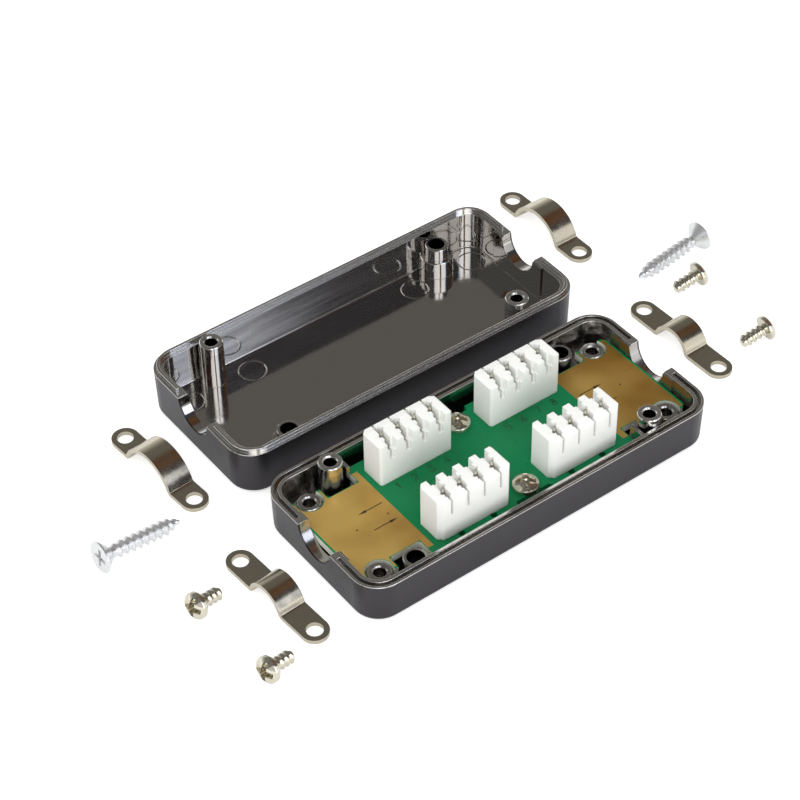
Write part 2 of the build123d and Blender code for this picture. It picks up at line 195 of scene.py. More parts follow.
def piece(name: str, grids: list[tuple[np.ndarray, np.ndarray]], material: bpy.types.Material,
          smooth_angle: float = 40.0) -> bpy.types.Object:
    """Makes one object from grids of points, with doubles merged and its faces turned outwards.

    Args:
        name: name of the piece.
        grids: for each surface its points in metres, rows by columns by three, and its faces.
        material: finish of the piece.
        smooth_angle: edges sharper than this many degrees stay sharp.

    Returns:
        The new object, riding on the frame.
    """
    points, faces, start = [], [], 0
    for grid, quads in grids:
        flat = grid.reshape(-1, 3)
        points.append(flat)
        faces.append(quads + start)
        start += len(flat)
    mesh = bpy.data.meshes.new(name)
    mesh.from_pydata(np.concatenate(points), [], np.concatenate(faces).tolist())
    obj = bpy.data.objects.new(name, mesh)
    bpy.context.scene.collection.objects.link(obj)
    bpy.ops.object.select_all(action="DESELECT")
    bpy.context.view_layer.objects.active = obj
    obj.select_set(True)
    bpy.ops.object.mode_set(mode="EDIT")
    bpy.ops.mesh.select_all(action="SELECT")
    bpy.ops.mesh.remove_doubles(threshold=0.0005 * MM)
    bpy.ops.mesh.dissolve_degenerate(threshold=0.0005 * MM)
    bpy.ops.mesh.normals_make_consistent(inside=False)
    bpy.ops.object.mode_set(mode="OBJECT")
    bpy.ops.object.shade_smooth_by_angle(angle=math.radians(smooth_angle))
    mesh.materials.append(material)
    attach(obj, BODY)
    log.info("%s: %d faces", name, len(mesh.polygons))
    return obj


# Finishes


@dataclass(frozen=True)
class Finish:
    """What every finish shares: a Principled surface with a fine bump and an uneven roughness.

    Attributes:
        name: name of the material.
        colour: sRGB hex colour of the surface.
        metallic: one for bare or plated metal.
        roughness: middle of the roughness.
        roughness_spread: how far the roughness wanders either way.
        grain_mm: size of the fine grain.
        grain_height_mm: height of the fine grain.
        patch_mm: size of the patches in which the roughness wanders.
        edge_mm: radius that the eye sees on the edges.
        gloss: strength of the clear reflection on what isn't metal.
        sinking: share of the light that sinks in and comes out beside where it fell.
        sinking_mm: how far it comes out.
    """

    name: str
    colour: str
    metallic: float = 0.0
    roughness: float = 0.4
    roughness_spread: float = 0.05
    grain_mm: float = 0.12
    grain_height_mm: float = 0.002
    patch_mm: float = 5.0
    edge_mm: float = 0.08
    gloss: float = 0.5
    sinking: float = 0.0
    sinking_mm: float = 1.0

    def material(self) -> bpy.types.Material:
        """Builds the material.

        Returns:
            The new material.
        """
        made = bpy.data.materials.new(self.name)
        made.use_nodes = True
        tree = made.node_tree
        tree.nodes.clear()
        place = add_node(tree, "ShaderNodeTexCoord").outputs["Object"]
        shader = add_node(tree, "ShaderNodeBsdfPrincipled",
                          {"Base Color": linear(self.colour), "Metallic": self.metallic,
                           "Roughness": self.roughness, "Specular IOR Level": self.gloss,
                           "Subsurface Weight": self.sinking,
                           "Subsurface Scale": self.sinking_mm * MM, "Subsurface Radius": (1.0, 1.0, 1.0)})
        add_node(tree, "ShaderNodeOutputMaterial", {}, {"Surface": shader.outputs[0]})
        self.wander(tree, place, shader)
        self.grain(tree, place, shader)
        self.dress(tree, place, shader)
        return made

    def wander(self, tree: bpy.types.NodeTree, place: bpy.types.NodeSocket, shader: bpy.types.Node) -> None:
        """Lets the roughness wander in soft patches.

        Args:
            tree: node tree of the material.
            place: Object coordinates.
            shader: the surface.
        """
        patches = add_node(tree, "ShaderNodeTexNoise",
                           {"Scale": 1 / (self.patch_mm * MM), "Detail": 4.0, "Roughness": 0.6},
                           {"Vector": place})
        level = add_node(tree, "ShaderNodeMapRange",
                         {"From Min": NOISE_SPAN[0], "From Max": NOISE_SPAN[1],
                          "To Min": self.roughness - self.roughness_spread,
                          "To Max": self.roughness + self.roughness_spread},
                         {"Value": patches.outputs["Fac"]})
        tree.links.new(level.outputs[0], shader.inputs["Roughness"])

    def grain(self, tree: bpy.types.NodeTree, place: bpy.types.NodeSocket, shader: bpy.types.Node) -> None:
        """Adds the fine grain and the small radius on the edges.

        Args:
            tree: node tree of the material.
            place: Object coordinates.
            shader: the surface.
        """
        edge = add_node(tree, "ShaderNodeBevel", {"Radius": self.edge_mm * MM}, samples=6)
        noise = add_node(tree, "ShaderNodeTexNoise", {"Scale": 1 / (self.grain_mm * MM), "Detail": 2.0},
                         {"Vector": place})
        bump = add_node(tree, "ShaderNodeBump", {"Distance": self.grain_height_mm * MM, "Strength": 1.0},
                        {"Height": noise.outputs["Fac"], "Normal": edge.outputs[0]})
        tree.links.new(bump.outputs[0], shader.inputs["Normal"])

    def dress(self, tree: bpy.types.NodeTree, place: bpy.types.NodeSocket, shader: bpy.types.Node) -> None:
        """Hook for what only one finish has.

        Args:
            tree: node tree of the material.
            place: Object coordinates.
            shader: the surface.
        """


@dataclass(frozen=True)
class MetallisedPlastic(Finish):
    """Moulded plastic plated with dark nickel: spark-eroded satin outside, polished like a mirror inside.

    Attributes:
        half_mm: half length and half width of the half shell, inside its outer skin.
        corner_mm: radius of its corners there.
        centre_mm: place of its middle.
        skin_mm: level above which the inside starts.
        rim_mm: level at which the rim starts, which is coloured lighter as a painted sheen.
        inside_colour: sRGB hex colour of the polished side.
        inside_roughness: roughness of the polished side.
        inside_dulling: how many times rougher it is where the polishing marks are strongest.
        rim_painted_sheen_colour: sRGB hex colour of the rim, lighter than the inside: a painted sheen.
        rim_roughness: roughness of the rim.
        polish_mm: size of the marks left by polishing the mould lengthways. Real ones are finer than a
            pixel, so these are as coarse as they need to be to show.
        polish_span: noise values at which the marks start and are strongest.
        hole_mm: x, y and radius of the two screw passages, whose walls are coloured near black as painted
            shade.
        passage_shade_colour: sRGB hex colour of the painted shade in them.
        ripple_mm: size of the shallow ripples in the walls.
        ripple_height_mm: height of the ripples.
    """

    half_mm: tuple[float, float] = (43.1, 18.35)
    corner_mm: float = 5.6
    centre_mm: tuple[float, float] = (0.0, 0.0)
    skin_mm: float = 0.9
    rim_mm: float = 9.6
    inside_colour: str = "#BDBAB6"
    inside_roughness: float = 0.08
    inside_dulling: float = 1.5
    rim_painted_sheen_colour: str = "#D8D6D2"
    rim_roughness: float = 0.16
    polish_mm: tuple[float, float, float] = (12.0, 0.8, 0.5)
    polish_span: tuple[float, float] = (0.4, 0.7)
    hole_mm: tuple[float, float, float] = (29.5, 14.0, 1.84)
    passage_shade_colour: str = "#141414"
    ripple_mm: tuple[float, float, float] = (45.0, 12.0, 7.0)
    ripple_height_mm: float = 0.05

    def dress(self, tree: bpy.types.NodeTree, place: bpy.types.NodeSocket, shader: bpy.types.Node) -> None:
        """Tells the inside from the outside by the distance to a rounded rectangle.

        Args:
            tree: node tree of the material.
            place: Object coordinates.
            shader: the surface.
        """
        centre = tuple(-c * MM for c in self.centre_mm)
        moved = add_node(tree, "ShaderNodeMapping", {"Location": (*centre, 0)}, {"Vector": place}).outputs[0]
        axes = add_node(tree, "ShaderNodeSeparateXYZ", {}, {0: moved}).outputs
        folded = add_node(tree, "ShaderNodeVectorMath", {}, {0: moved}, operation="ABSOLUTE").outputs[0]

        # The inside lies nearer to the core rectangle than the corner's radius, and above the skin
        core = [(h - self.corner_mm) * MM for h in self.half_mm]
        past = add_node(tree, "ShaderNodeVectorMath", {1: (*core, BEYOND)}, {0: folded}, operation="SUBTRACT")
        past = add_node(tree, "ShaderNodeVectorMath", {1: (0, 0, 0)}, {0: past.outputs[0]},
                        operation="MAXIMUM")
        reach = add_node(tree, "ShaderNodeVectorMath", {}, {0: past.outputs[0]}, operation="LENGTH")
        inside = product(tree, [("LESS_THAN", reach.outputs["Value"], self.corner_mm * MM),
                                ("GREATER_THAN", axes["Z"], self.skin_mm * MM)])
        rim = product(tree, [("GREATER_THAN", axes["Z"], self.rim_mm * MM)])

        # The two screw passages, coloured near black as painted shade, lie on the diagonal where x and y have
        # the same sign
        hole_x, hole_y, hole_radius = (v * MM for v in self.hole_mm)
        diagonal = add_node(tree, "ShaderNodeMath", {}, {0: axes["X"], 1: axes["Y"]}, operation="MULTIPLY")
        flat = add_node(tree, "ShaderNodeVectorMath", {1: (1, 1, 0)}, {0: folded}, operation="MULTIPLY")
        hole = add_node(tree, "ShaderNodeVectorMath", {1: (hole_x, hole_y, 0)}, {0: flat.outputs[0]},
                        operation="DISTANCE")
        bare = product(tree, [("LESS_THAN", hole.outputs["Value"], hole_radius),
                              ("GREATER_THAN", diagonal.outputs[0], 0.0)])

        colour = add_node(tree, "ShaderNodeMix", {6: linear(self.colour), 7: linear(self.inside_colour)},
                          {0: inside}, data_type="RGBA")
        # Painted sheen: the rim is coloured lighter than the rest of the shell.
        for mask, upper in ((rim, self.rim_painted_sheen_colour), (bare, self.passage_shade_colour)):
            colour = add_node(tree, "ShaderNodeMix", {7: linear(upper)}, {0: mask, 6: colour.outputs[2]},
                              data_type="RGBA")
        tree.links.new(colour.outputs[2], shader.inputs["Base Color"])

        outside = shader.inputs["Roughness"].links[0].from_socket
        polish = add_node(tree, "ShaderNodeMapRange",
                          {"From Min": self.polish_span[0], "From Max": self.polish_span[1],
                           "To Min": self.inside_roughness,
                           "To Max": self.inside_dulling * self.inside_roughness},
                          {"Value": stretched_noise(tree, place, self.polish_mm)})
        rough = add_node(tree, "ShaderNodeMix", {}, {0: inside, 2: outside, 3: polish.outputs[0]})
        rough = add_node(tree, "ShaderNodeMix", {3: self.rim_roughness}, {0: rim, 2: rough.outputs[0]})
        tree.links.new(rough.outputs[0], shader.inputs["Roughness"])

        # The grain stays outside, and the ripples lie under everything
        grain = shader.inputs["Normal"].links[0].from_node
        satin = add_node(tree, "ShaderNodeMath", {0: 1.0}, {1: inside}, operation="SUBTRACT")
        tree.links.new(satin.outputs[0], grain.inputs["Strength"])
        waves = add_node(tree, "ShaderNodeBump", {"Distance": self.ripple_height_mm * MM, "Strength": 1.0},
                         {"Height": stretched_noise(tree, place, self.ripple_mm), "Normal": grain.outputs[0]})
        tree.links.new(waves.outputs[0], shader.inputs["Normal"])


@dataclass(frozen=True)
class SolderMask(Finish):
    """Glass epoxy board under green solder mask, with bare gilded copper at both ends and bare cut edges.

    Attributes:
        mask_clouds: cloud value and sRGB hex colour of the mask's two shades.
        gold: sRGB hex colour of the gilded pads.
        tarnish_and_shade: sRGB hex colour of the darker gilding: its duller patches, and the painted shade
            towards +X.
        gilding_span: cloud values at which a pad is all tarnish and all gold.
        cloud_mm: size of the clouds in mask and gilding.
        laminate: sRGB hex colour of the cut edges.
        cut_limit: upright part of the normal below which a face is a cut edge.
        sheen: how metallic the gilding looks under its film of handling.
        fade: how fast the gilding is painted darker along the board towards +X, per metre, as painted shade.
        pad_mm: start and end of a pad along the board, from the middle.
        pad_half_mm: half width of a pad.
        notch_mm: start, end and inner side of the post notch that the pad leaves free.
        bite_mm: x, y and radius of the clamp bite that the pad leaves free.
        top_mm: level just under the upper face, above which the pads lie.
    """

    mask_clouds: tuple[tuple[float, str], ...] = ((0.3, "#00703F"), (0.7, "#00824F"))
    gold: str = "#D2AE60"
    tarnish_and_shade: str = "#966E2E"
    gilding_span: tuple[float, float] = (0.35, 0.75)
    cloud_mm: float = 1000 / 60
    laminate: str = "#E4E6D8"
    cut_limit: float = 0.7
    sheen: float = 0.45
    fade: float = 4.0
    pad_mm: tuple[float, float] = (24.1, 40.25)
    pad_half_mm: float = 12.6
    notch_mm: tuple[float, float, float] = (25.45, 33.05, 9.95)
    bite_mm: tuple[float, float, float] = (36.4, 11.7, 3.0)
    top_mm: float = 6.45

    def dress(self, tree: bpy.types.NodeTree, place: bpy.types.NodeSocket, shader: bpy.types.Node) -> None:
        """Colours the mask, the pads and the cut edges.

        Args:
            tree: node tree of the material.
            place: Object coordinates.
            shader: the surface.
        """
        folded = add_node(tree, "ShaderNodeVectorMath", {}, {0: place}, operation="ABSOLUTE").outputs[0]
        axes = add_node(tree, "ShaderNodeSeparateXYZ", {}, {0: folded}).outputs
        x, y, z = axes["X"], axes["Y"], axes["Z"]

        # A pad ends off the post's notch and off the clamp's bite
        start, end, side = (v * MM for v in self.notch_mm)
        off_notch = add_node(tree, "ShaderNodeMath", {1: (start + end) / 2}, {0: x}, operation="SUBTRACT")
        off_notch = add_node(tree, "ShaderNodeMath", {}, {0: off_notch.outputs[0]}, operation="ABSOLUTE")
        off_notch = add_node(tree, "ShaderNodeMath", {1: (end - start) / 2}, {0: off_notch.outputs[0]},
                             operation="SUBTRACT")
        inward = add_node(tree, "ShaderNodeMath", {0: side}, {1: y}, operation="SUBTRACT")
        clear = add_node(tree, "ShaderNodeMath", {}, {0: off_notch.outputs[0], 1: inward.outputs[0]},
                         operation="MAXIMUM")
        bite_x, bite_y, bite_radius = (v * MM for v in self.bite_mm)
        flat = add_node(tree, "ShaderNodeVectorMath", {1: (1, 1, 0)}, {0: folded}, operation="MULTIPLY")
        bite = add_node(tree, "ShaderNodeVectorMath", {1: (bite_x, bite_y, 0)}, {0: flat.outputs[0]},
                        operation="DISTANCE")
        pad_start, pad_end = (v * MM for v in self.pad_mm)
        pad = product(tree, [("GREATER_THAN", x, pad_start), ("LESS_THAN", x, pad_end),
                             ("LESS_THAN", y, self.pad_half_mm * MM),
                             ("GREATER_THAN", clear.outputs[0], 0.0),
                             ("GREATER_THAN", bite.outputs["Value"], bite_radius),
                             ("GREATER_THAN", z, self.top_mm * MM)])

        cloud = add_node(tree, "ShaderNodeTexNoise",
                         {"Scale": 1 / (self.cloud_mm * MM), "Detail": 2.0, "Roughness": 0.5},
                         {"Vector": place}).outputs["Fac"]
        # Painted shade: the gilding darkens towards +X, on top of its duller patches.
        along = add_node(tree, "ShaderNodeSeparateXYZ", {}, {0: place}).outputs["X"]
        fade = add_node(tree, "ShaderNodeMath", {1: -self.fade}, {0: along, 2: cloud},
                        operation="MULTIPLY_ADD")
        mask = ramp(tree, cloud, 0.0, 1.0, self.mask_clouds)
        shades = tuple(zip(self.gilding_span, (self.tarnish_and_shade, self.gold)))
        metal = ramp(tree, fade.outputs[0], 0.0, 1.0, shades)
        colour = add_node(tree, "ShaderNodeMix", {}, {0: pad, 6: mask, 7: metal}, data_type="RGBA")

        normal = add_node(tree, "ShaderNodeTexCoord").outputs["Normal"]
        upright = add_node(tree, "ShaderNodeSeparateXYZ", {}, {0: normal}).outputs["Z"]
        steep = add_node(tree, "ShaderNodeMath", {}, {0: upright}, operation="ABSOLUTE")
        cut = product(tree, [("LESS_THAN", steep.outputs[0], self.cut_limit), ("GREATER_THAN", x, pad_start)])
        colour = add_node(tree, "ShaderNodeMix", {7: linear(self.laminate)}, {0: cut, 6: colour.outputs[2]},
                          data_type="RGBA")
        tree.links.new(colour.outputs[2], shader.inputs["Base Color"])
        sheen = add_node(tree, "ShaderNodeMath", {1: self.sheen}, {0: pad}, operation="MULTIPLY")
        tree.links.new(sheen.outputs[0], shader.inputs["Metallic"])


# Screws

HEAD_RINGS, HEAD_STEPS = 64, 144  # Points of a head from its middle to its rim, and round it
THREAD_STEPS = 56  # Points of a thread in one turn
END_STEPS = 48  # Points round a blunt end
PAN_NECK, CONE_NECK = 0.8, 0.9  # Where a head's underside ends in the shank, as a share of the core


class Head(Enum):
    """Form of a screw's head."""

    COUNTERSUNK = "countersunk"
    PAN = "pan"


@dataclass(frozen=True)
class Screw:
    """Cross-recess screw, drawn along X from its head's face to its tip.

    Attributes:
        head: form of the head.
        length: whole length for a countersunk head, shank length for a pan head, in mm.
        head_radius: radius of the head.
        head_height: height of a pan head.
        edge: height of the head's straight rim.
        core_radius: radius at the root of the thread.
        crest_radius: radius at the top of the thread.
        pitch: distance from turn to turn.
        flank: share of the pitch that the ridge takes.
        point: length of the tapering point, or of the end chamfer.
        recess_radius: reach of the cross from the axis.
        recess_depth: depth of the cross at the axis.
        slot_half: half width of the cross's slots.
        end_slope: how fast a blunt end widens to the thread.
        fullness: power that shapes the point, 1 for a straight cone and less for a fuller one.
        recess_wall: width over which a slot's side wall slopes.
        recess_slope: length over which a slot's end slopes.
        recess_taper: share by which a slot narrows to its end.
        rim: size of the small chamfer round the head.
        crest_share: share of the ridge's width that its flat crest takes.
    """

    head: Head
    length: float
    head_radius: float
    head_height: float
    edge: float
    core_radius: float
    crest_radius: float
    pitch: float
    flank: float
    point: float
    recess_radius: float
    recess_depth: float
    slot_half: float = 0.42
    end_slope: float = 1.3
    fullness: float = 0.6
    recess_wall: float = 0.25
    recess_slope: float = 0.6
    recess_taper: float = 0.25
    rim: float = 0.12
    crest_share: float = 0.125

    @property
    def whole(self) -> float:
        """Distance from the head's face to the tip."""
        return self.length + (self.head_height if self.head is Head.PAN else 0.0)

    def recess(self, radius: np.ndarray, angle: np.ndarray) -> np.ndarray:
        """Depth of the cross, which is the deeper of two crossed slots.

        A slot's depth is the distance to its side over the wall's width, or the distance to its end over the
        end's length, whichever is less, held between nothing and the full depth.

        Args:
            radius: distance from the axis.
            angle: angle round the axis.

        Returns:
            The depth at each point.
        """
        u, v = radius * np.cos(angle), radius * np.sin(angle)
        half = self.slot_half * (1 - self.recess_taper * radius / self.recess_radius)
        along, across = (np.minimum((half - np.abs(b)) / self.recess_wall,
                                    (self.recess_radius - np.abs(a)) / self.recess_slope)
                         for a, b in ((u, v), (v, u)))
        return self.recess_depth * np.clip(np.maximum(along, across), 0, 1)

    def head_grid(self) -> tuple[np.ndarray, np.ndarray]:
        """Head as a half outline turned about X, with the cross pressed into its face.

        A dome drops from its middle by its sphere's radius, less the root of that radius squared less the
        point's own distance from the axis squared.

        Returns:
            Points in mm and faces.
        """
        top = np.linspace(0, self.head_radius - self.rim, HEAD_RINGS)
        if self.head is Head.PAN:
            rise = self.head_height - self.edge
            dome = (self.head_radius ** 2 + rise ** 2) / (2 * rise)
            drop = dome - np.sqrt(dome ** 2 - top ** 2)
            side = [(rise + self.rim, self.head_radius), (self.head_height - self.rim, self.head_radius),
                    (self.head_height, self.head_radius - self.rim),
                    (self.head_height, self.core_radius * PAN_NECK)]
        else:
            drop = np.zeros_like(top)
            side = [(self.rim, self.head_radius), (self.edge, self.head_radius),
                    (self.edge + self.head_radius - self.core_radius, self.core_radius),
                    (self.edge + self.head_radius, self.core_radius * CONE_NECK)]
        side_along, side_radius = (np.array(a) for a in zip(*side))
        radius = np.concatenate([top, side_radius])[:, None]
        along = np.concatenate([drop, side_along])[:, None]
        angle = np.linspace(0, 2 * np.pi, HEAD_STEPS, endpoint=False)[None, :]
        in_face = np.arange(len(radius))[:, None] < len(top)
        along = along + self.recess(radius, angle) * in_face
        points = np.stack(np.broadcast_arrays(along, radius * np.cos(angle), radius * np.sin(angle)), axis=-1)
        return points, grid_faces(*points.shape[:2], wrap_columns=True)

    def thread_grid(self) -> tuple[np.ndarray, np.ndarray]:
        """Thread as one pitch of its profile carried along a helix, so each turn meets the next.

        A point lies at the start plus the pitch times the sum of its turns and its share of the profile. Its
        radius is the core plus a ridge of triangular section with a flat crest, and shrinks towards the tip.

        Returns:
            Points in mm and faces.
        """
        under = self.head_height if self.head is Head.PAN else self.edge + self.head_radius - self.core_radius
        start = under - self.pitch
        turns = (self.whole - start) / self.pitch
        q = np.linspace(0, 2 * np.pi * turns, int(turns * THREAD_STEPS))[:, None]
        foot, crest = self.flank / 2, self.flank * self.crest_share / 2
        k = np.array([0, 0.5 - foot, 0.5 - crest, 0.5 + crest, 0.5 + foot, 1])[None, :]
        ridge = np.clip(1 - np.abs(k - 0.5) * 2 / self.flank, 0, 1) / (1 - self.crest_share)
        along = start + self.pitch * (q / (2 * np.pi) + k)
        radius = self.core_radius + (self.crest_radius - self.core_radius) * np.minimum(ridge, 1)
        if self.head is Head.PAN:
            room = np.maximum(self.whole - along, 0)
            radius = np.minimum(radius, self.core_radius - self.point + self.end_slope * room)
        else:
            radius = radius * np.clip((self.whole - along) / self.point, 0, 1) ** self.fullness
            fade = np.clip((along - start - self.pitch) / self.pitch, 0, 1)
            radius = np.minimum(radius, self.core_radius + (self.crest_radius - self.core_radius) * fade)
        along = np.minimum(along, self.whole)
        points = np.stack([along, radius * np.cos(q), radius * np.sin(q)], axis=-1)
        return points, grid_faces(*points.shape[:2])

    def end_grid(self) -> tuple[np.ndarray, np.ndarray]:
        """Blunt end: a small disc that closes the thread.

        Returns:
            Points in mm and faces.
        """
        radius = np.array([0, 0.5, 1])[:, None] * (self.core_radius - self.point)
        angle = np.linspace(0, 2 * np.pi, END_STEPS, endpoint=False)[None, :]
        points = np.stack(np.broadcast_arrays(self.whole + 0 * radius, radius * np.cos(angle),
                                              radius * np.sin(angle)), axis=-1)
        return points, grid_faces(*points.shape[:2], wrap_columns=True)

    def grids(self) -> list[tuple[np.ndarray, np.ndarray]]:
        """All surfaces of the screw, in mm."""
        made = [self.head_grid(), self.thread_grid()]
        return made + ([self.end_grid()] if self.head is Head.PAN else [])

    def lying(self, x: float, y: float, turn: float) -> Matrix:
        """Place of a screw that rests on its head's rim and its thread.

        Args:
            x: middle of the screw along X, in mm.
            y: middle of the screw along Y, in mm.
            turn: direction from head to tip, in degrees about Z.

        Returns:
            The matrix from the screw's own axes to the frame, in mm.
        """
        if self.head is Head.PAN:
            rim_s = self.head_height
            touch = self.whole - (self.crest_radius - self.core_radius + self.point) / self.end_slope
        else:
            rim_s = self.edge
            touch = self.whole - self.point
        tilt = math.atan((self.head_radius - self.crest_radius) / (touch - rim_s))
        lift = rim_s * math.sin(tilt) + self.head_radius * math.cos(tilt)
        back = Matrix.Translation((-self.whole / 2 * math.cos(tilt), 0, lift))
        return (Matrix.Translation((x, y, 0)) @ Matrix.Rotation(math.radians(turn), 4, "Z") @ back
                @ Matrix.Rotation(tilt, 4, "Y"))

    def build(self, name: str, place: Matrix, material: bpy.types.Material, slot: str) -> bpy.types.Object:
        """Makes the screw in its place of the CAD node with the same name.

        Args:
            name: name of the CAD node.
            place: matrix from the screw's own axes to the frame, in mm.
            material: finish.
            slot: name of a material slot; not used.

        Returns:
            The new object.
        """
        turn, shift = np.array(place.to_3x3()), np.array(place.translation)
        grids = [((points @ turn.T + shift) * MM, faces) for points, faces in self.grids()]
        made = piece(f"{name}_threaded", grids, material, smooth_angle=35)
        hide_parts(name)
        return made


CLOSING_SCREW = Screw(Head.COUNTERSUNK, length=19.0, head_radius=3.4, head_height=0.0, edge=0.35,
                      core_radius=1.15, crest_radius=1.75, pitch=1.57, flank=0.75, point=3.6,
                      recess_radius=2.0, recess_depth=1.7, slot_half=0.5)
CLAMP_SCREW = Screw(Head.PAN, length=6.0, head_radius=2.8, head_height=2.0, edge=0.9, core_radius=1.1,
                    crest_radius=1.5, pitch=1.3, flank=0.7, point=0.35, recess_radius=2.1,
                    recess_depth=1.5, slot_half=0.72)
BOARD_SCREW = replace(CLAMP_SCREW, length=5.0)


@dataclass(frozen=True)
class Fasteners:
    """Lengths in mm.

    Attributes:
        closing_places: middle and direction of each long screw, as Screw.lying takes them.
        clamp_places: the same for the loose small screws.
        board_y: distance of the board's screws from its middle line.
        board_top: level of the board's face.
        board_turn: turn of their crosses, in degrees.
    """

    closing_places: tuple[tuple[float, float, float], ...] = ((72.91, 28.09, -177.2), (-66.59, 26.86, 2.0))
    clamp_places: tuple[tuple[float, float, float], ...] = (
        (71.24, 19.56, 174.4), (70.71, -2.42, 173.3), (-65.28, 5.67, 12.5), (-63.37, -15.81, 12.1))
    board_y: float = 11.05
    board_top: float = 6.5
    board_turn: float = 36.0

    def build(self, zinc: bpy.types.Material, nickel: bpy.types.Material) -> None:
        """Builds every screw on its CAD node.

        Args:
            zinc: finish of the long screws.
            nickel: finish of the small screws.
        """
        for screw, places, name, material, slot in (
                (CLOSING_SCREW, self.closing_places, "closing_screw", zinc, "zinc_screw"),
                (CLAMP_SCREW, self.clamp_places, "clamp_screw", nickel, "nickel_screw")):
            for i, place in enumerate(places):
                screw.build(f"{name}_{i + 1}", screw.lying(*place), material, slot)
        for i, side in enumerate((-1, 1)):
            top = self.board_top + BOARD_SCREW.head_height
            place = (Matrix.Translation((0, side * self.board_y, top))
                     @ Matrix.Rotation(math.radians(90), 4, "Y")
                     @ Matrix.Rotation(math.radians(self.board_turn), 4, "X"))
            BOARD_SCREW.build(f"board_screw_{i + 1}", place, nickel, "nickel_screw")


# Print on the board


@dataclass(frozen=True)
class BoardPrint:
    """Marks on the board: arrows cut into the gilding by etching, dark dots as painted shade in its plated
    holes, plain numbers by the slots. Lengths in mm.

    Attributes:
        level: height of the marks, just above the board's face.
        line: width of a line.
        arrows: tail and head of each arrow.
        head_length: length of an arrow's head.
        head_width: width of an arrow's head.
        tip_width: width of its tip.
        dots: middle of each plated hole.
        dot_radius: radius of a plated hole.
        dot_start: radius at which a dot's ring starts.
        dot_steps: number of points round a dot.
        number_height: height of a number.
        number_y: distance of the numbers from the board's middle line.
        block_x: distance of a block's middle from the board's middle.
        slot_pitch: distance from slot to slot.
    """

    level: float = 6.512
    line: float = 0.22
    arrows: tuple[tuple[tuple[float, float], tuple[float, float]], ...] = (
        ((-25.2, 2.65), (-31.06, 2.67)), ((-30.97, -2.49), (-25.17, -2.54)),
        ((25.2, 2.5), (31.0, 2.5)), ((31.0, -2.6), (25.2, -2.6)))
    head_length: float = 1.9
    head_width: float = 0.72
    tip_width: float = 0.02
    dots: tuple[tuple[float, float], ...] = ((-26.08, -0.47), (-33.6, -0.48), (34.03, -0.04), (26.6, 0.3))
    dot_radius: float = 0.21
    dot_start: float = 0.01
    dot_steps: int = 24
    number_height: float = 1.8
    number_y: float = 4.3
    block_x: float = 13.85
    slot_pitch: float = 4.0

    @property
    def strokes(self) -> dict[int, list[tuple[float, float]]]:
        """Corner points of each number's line, in a box 0.6 wide and 1 high."""
        return {
            1: [(0.1, 0.75), (0.35, 1), (0.35, 0)],
            2: [(0, 0.8), (0.12, 1), (0.48, 1), (0.6, 0.8), (0.6, 0.62), (0, 0), (0.6, 0)],
            3: [(0, 1), (0.6, 1), (0.28, 0.58), (0.6, 0.38), (0.6, 0.12), (0.45, 0), (0.12, 0), (0, 0.12)],
            4: [(0.45, 0), (0.45, 1), (0, 0.3), (0.6, 0.3)],
            5: [(0.6, 1), (0.05, 1), (0, 0.55), (0.4, 0.6), (0.6, 0.42), (0.6, 0.15), (0.42, 0), (0.1, 0)],
            6: [(0.5, 1), (0.15, 0.7), (0, 0.3), (0.12, 0), (0.48, 0), (0.6, 0.2), (0.5, 0.45), (0.06, 0.45)],
            7: [(0, 1), (0.6, 1), (0.2, 0)],
            8: [(0.3, 0.52), (0.06, 0.66), (0.06, 0.88), (0.3, 1), (0.54, 0.88), (0.54, 0.66), (0.3, 0.52),
                (0, 0.36), (0, 0.12), (0.3, 0), (0.6, 0.12), (0.6, 0.36), (0.3, 0.52)],
        }

    def ribbon(self, points: np.ndarray, width: np.ndarray) -> tuple[np.ndarray, np.ndarray]:
        """Flat band along a line: each point is widened both ways across the line's direction there.

        Args:
            points: corner points of the line, in mm.
            width: width of the band at each point.

        Returns:
            Points in metres and faces.
        """
        along = np.gradient(points, axis=0)
        along /= np.linalg.norm(along, axis=1, keepdims=True)
        across = np.stack([-along[:, 1], along[:, 0]], axis=1) * width[:, None] / 2
        flat = np.stack([points + across, points - across], axis=1)
        height = np.full((*flat.shape[:2], 1), self.level)
        return np.concatenate([flat, height], axis=2) * MM, grid_faces(len(points), 2)

    def arrow(self, tail: tuple[float, float],
              tip: tuple[float, float]) -> list[tuple[np.ndarray, np.ndarray]]:
        """Shaft of even width and a head that narrows to its tip.

        Args:
            tail: x and y of the tail.
            tip: x and y of the tip.

        Returns:
            Points in metres and faces, of the shaft and of the head.
        """
        tail, tip = np.array(tail), np.array(tip)
        neck = tip + (tail - tip) * self.head_length / np.linalg.norm(tail - tip)
        return [self.ribbon(np.stack([tail, neck]), np.array([self.line, self.line])),
                self.ribbon(np.stack([neck, tip]), np.array([self.head_width, self.tip_width]))]

    def dot(self, middle: tuple[float, float]) -> tuple[np.ndarray, np.ndarray]:
        """Disc drawn as a ring that starts almost at its middle: radius times cosine and sine of the angle.

        Args:
            middle: x and y of its middle.

        Returns:
            Points in metres and faces.
        """
        angle = np.linspace(0, 2 * np.pi, self.dot_steps, endpoint=False)[None, :]
        radius = np.array([self.dot_start, self.dot_radius])[:, None]
        parts = np.broadcast_arrays(middle[0] + radius * np.cos(angle), middle[1] + radius * np.sin(angle),
                                    self.level)
        return np.stack(parts, axis=-1) * MM, grid_faces(2, self.dot_steps, wrap_columns=True)

    def number(self, value: int, x: float, y: float) -> tuple[np.ndarray, np.ndarray]:
        """One number with its middle at x and y."""
        points = (np.array(self.strokes[value]) - (0.3, 0.5)) * self.number_height + (x, y)
        return self.ribbon(points, np.full(len(points), self.line))

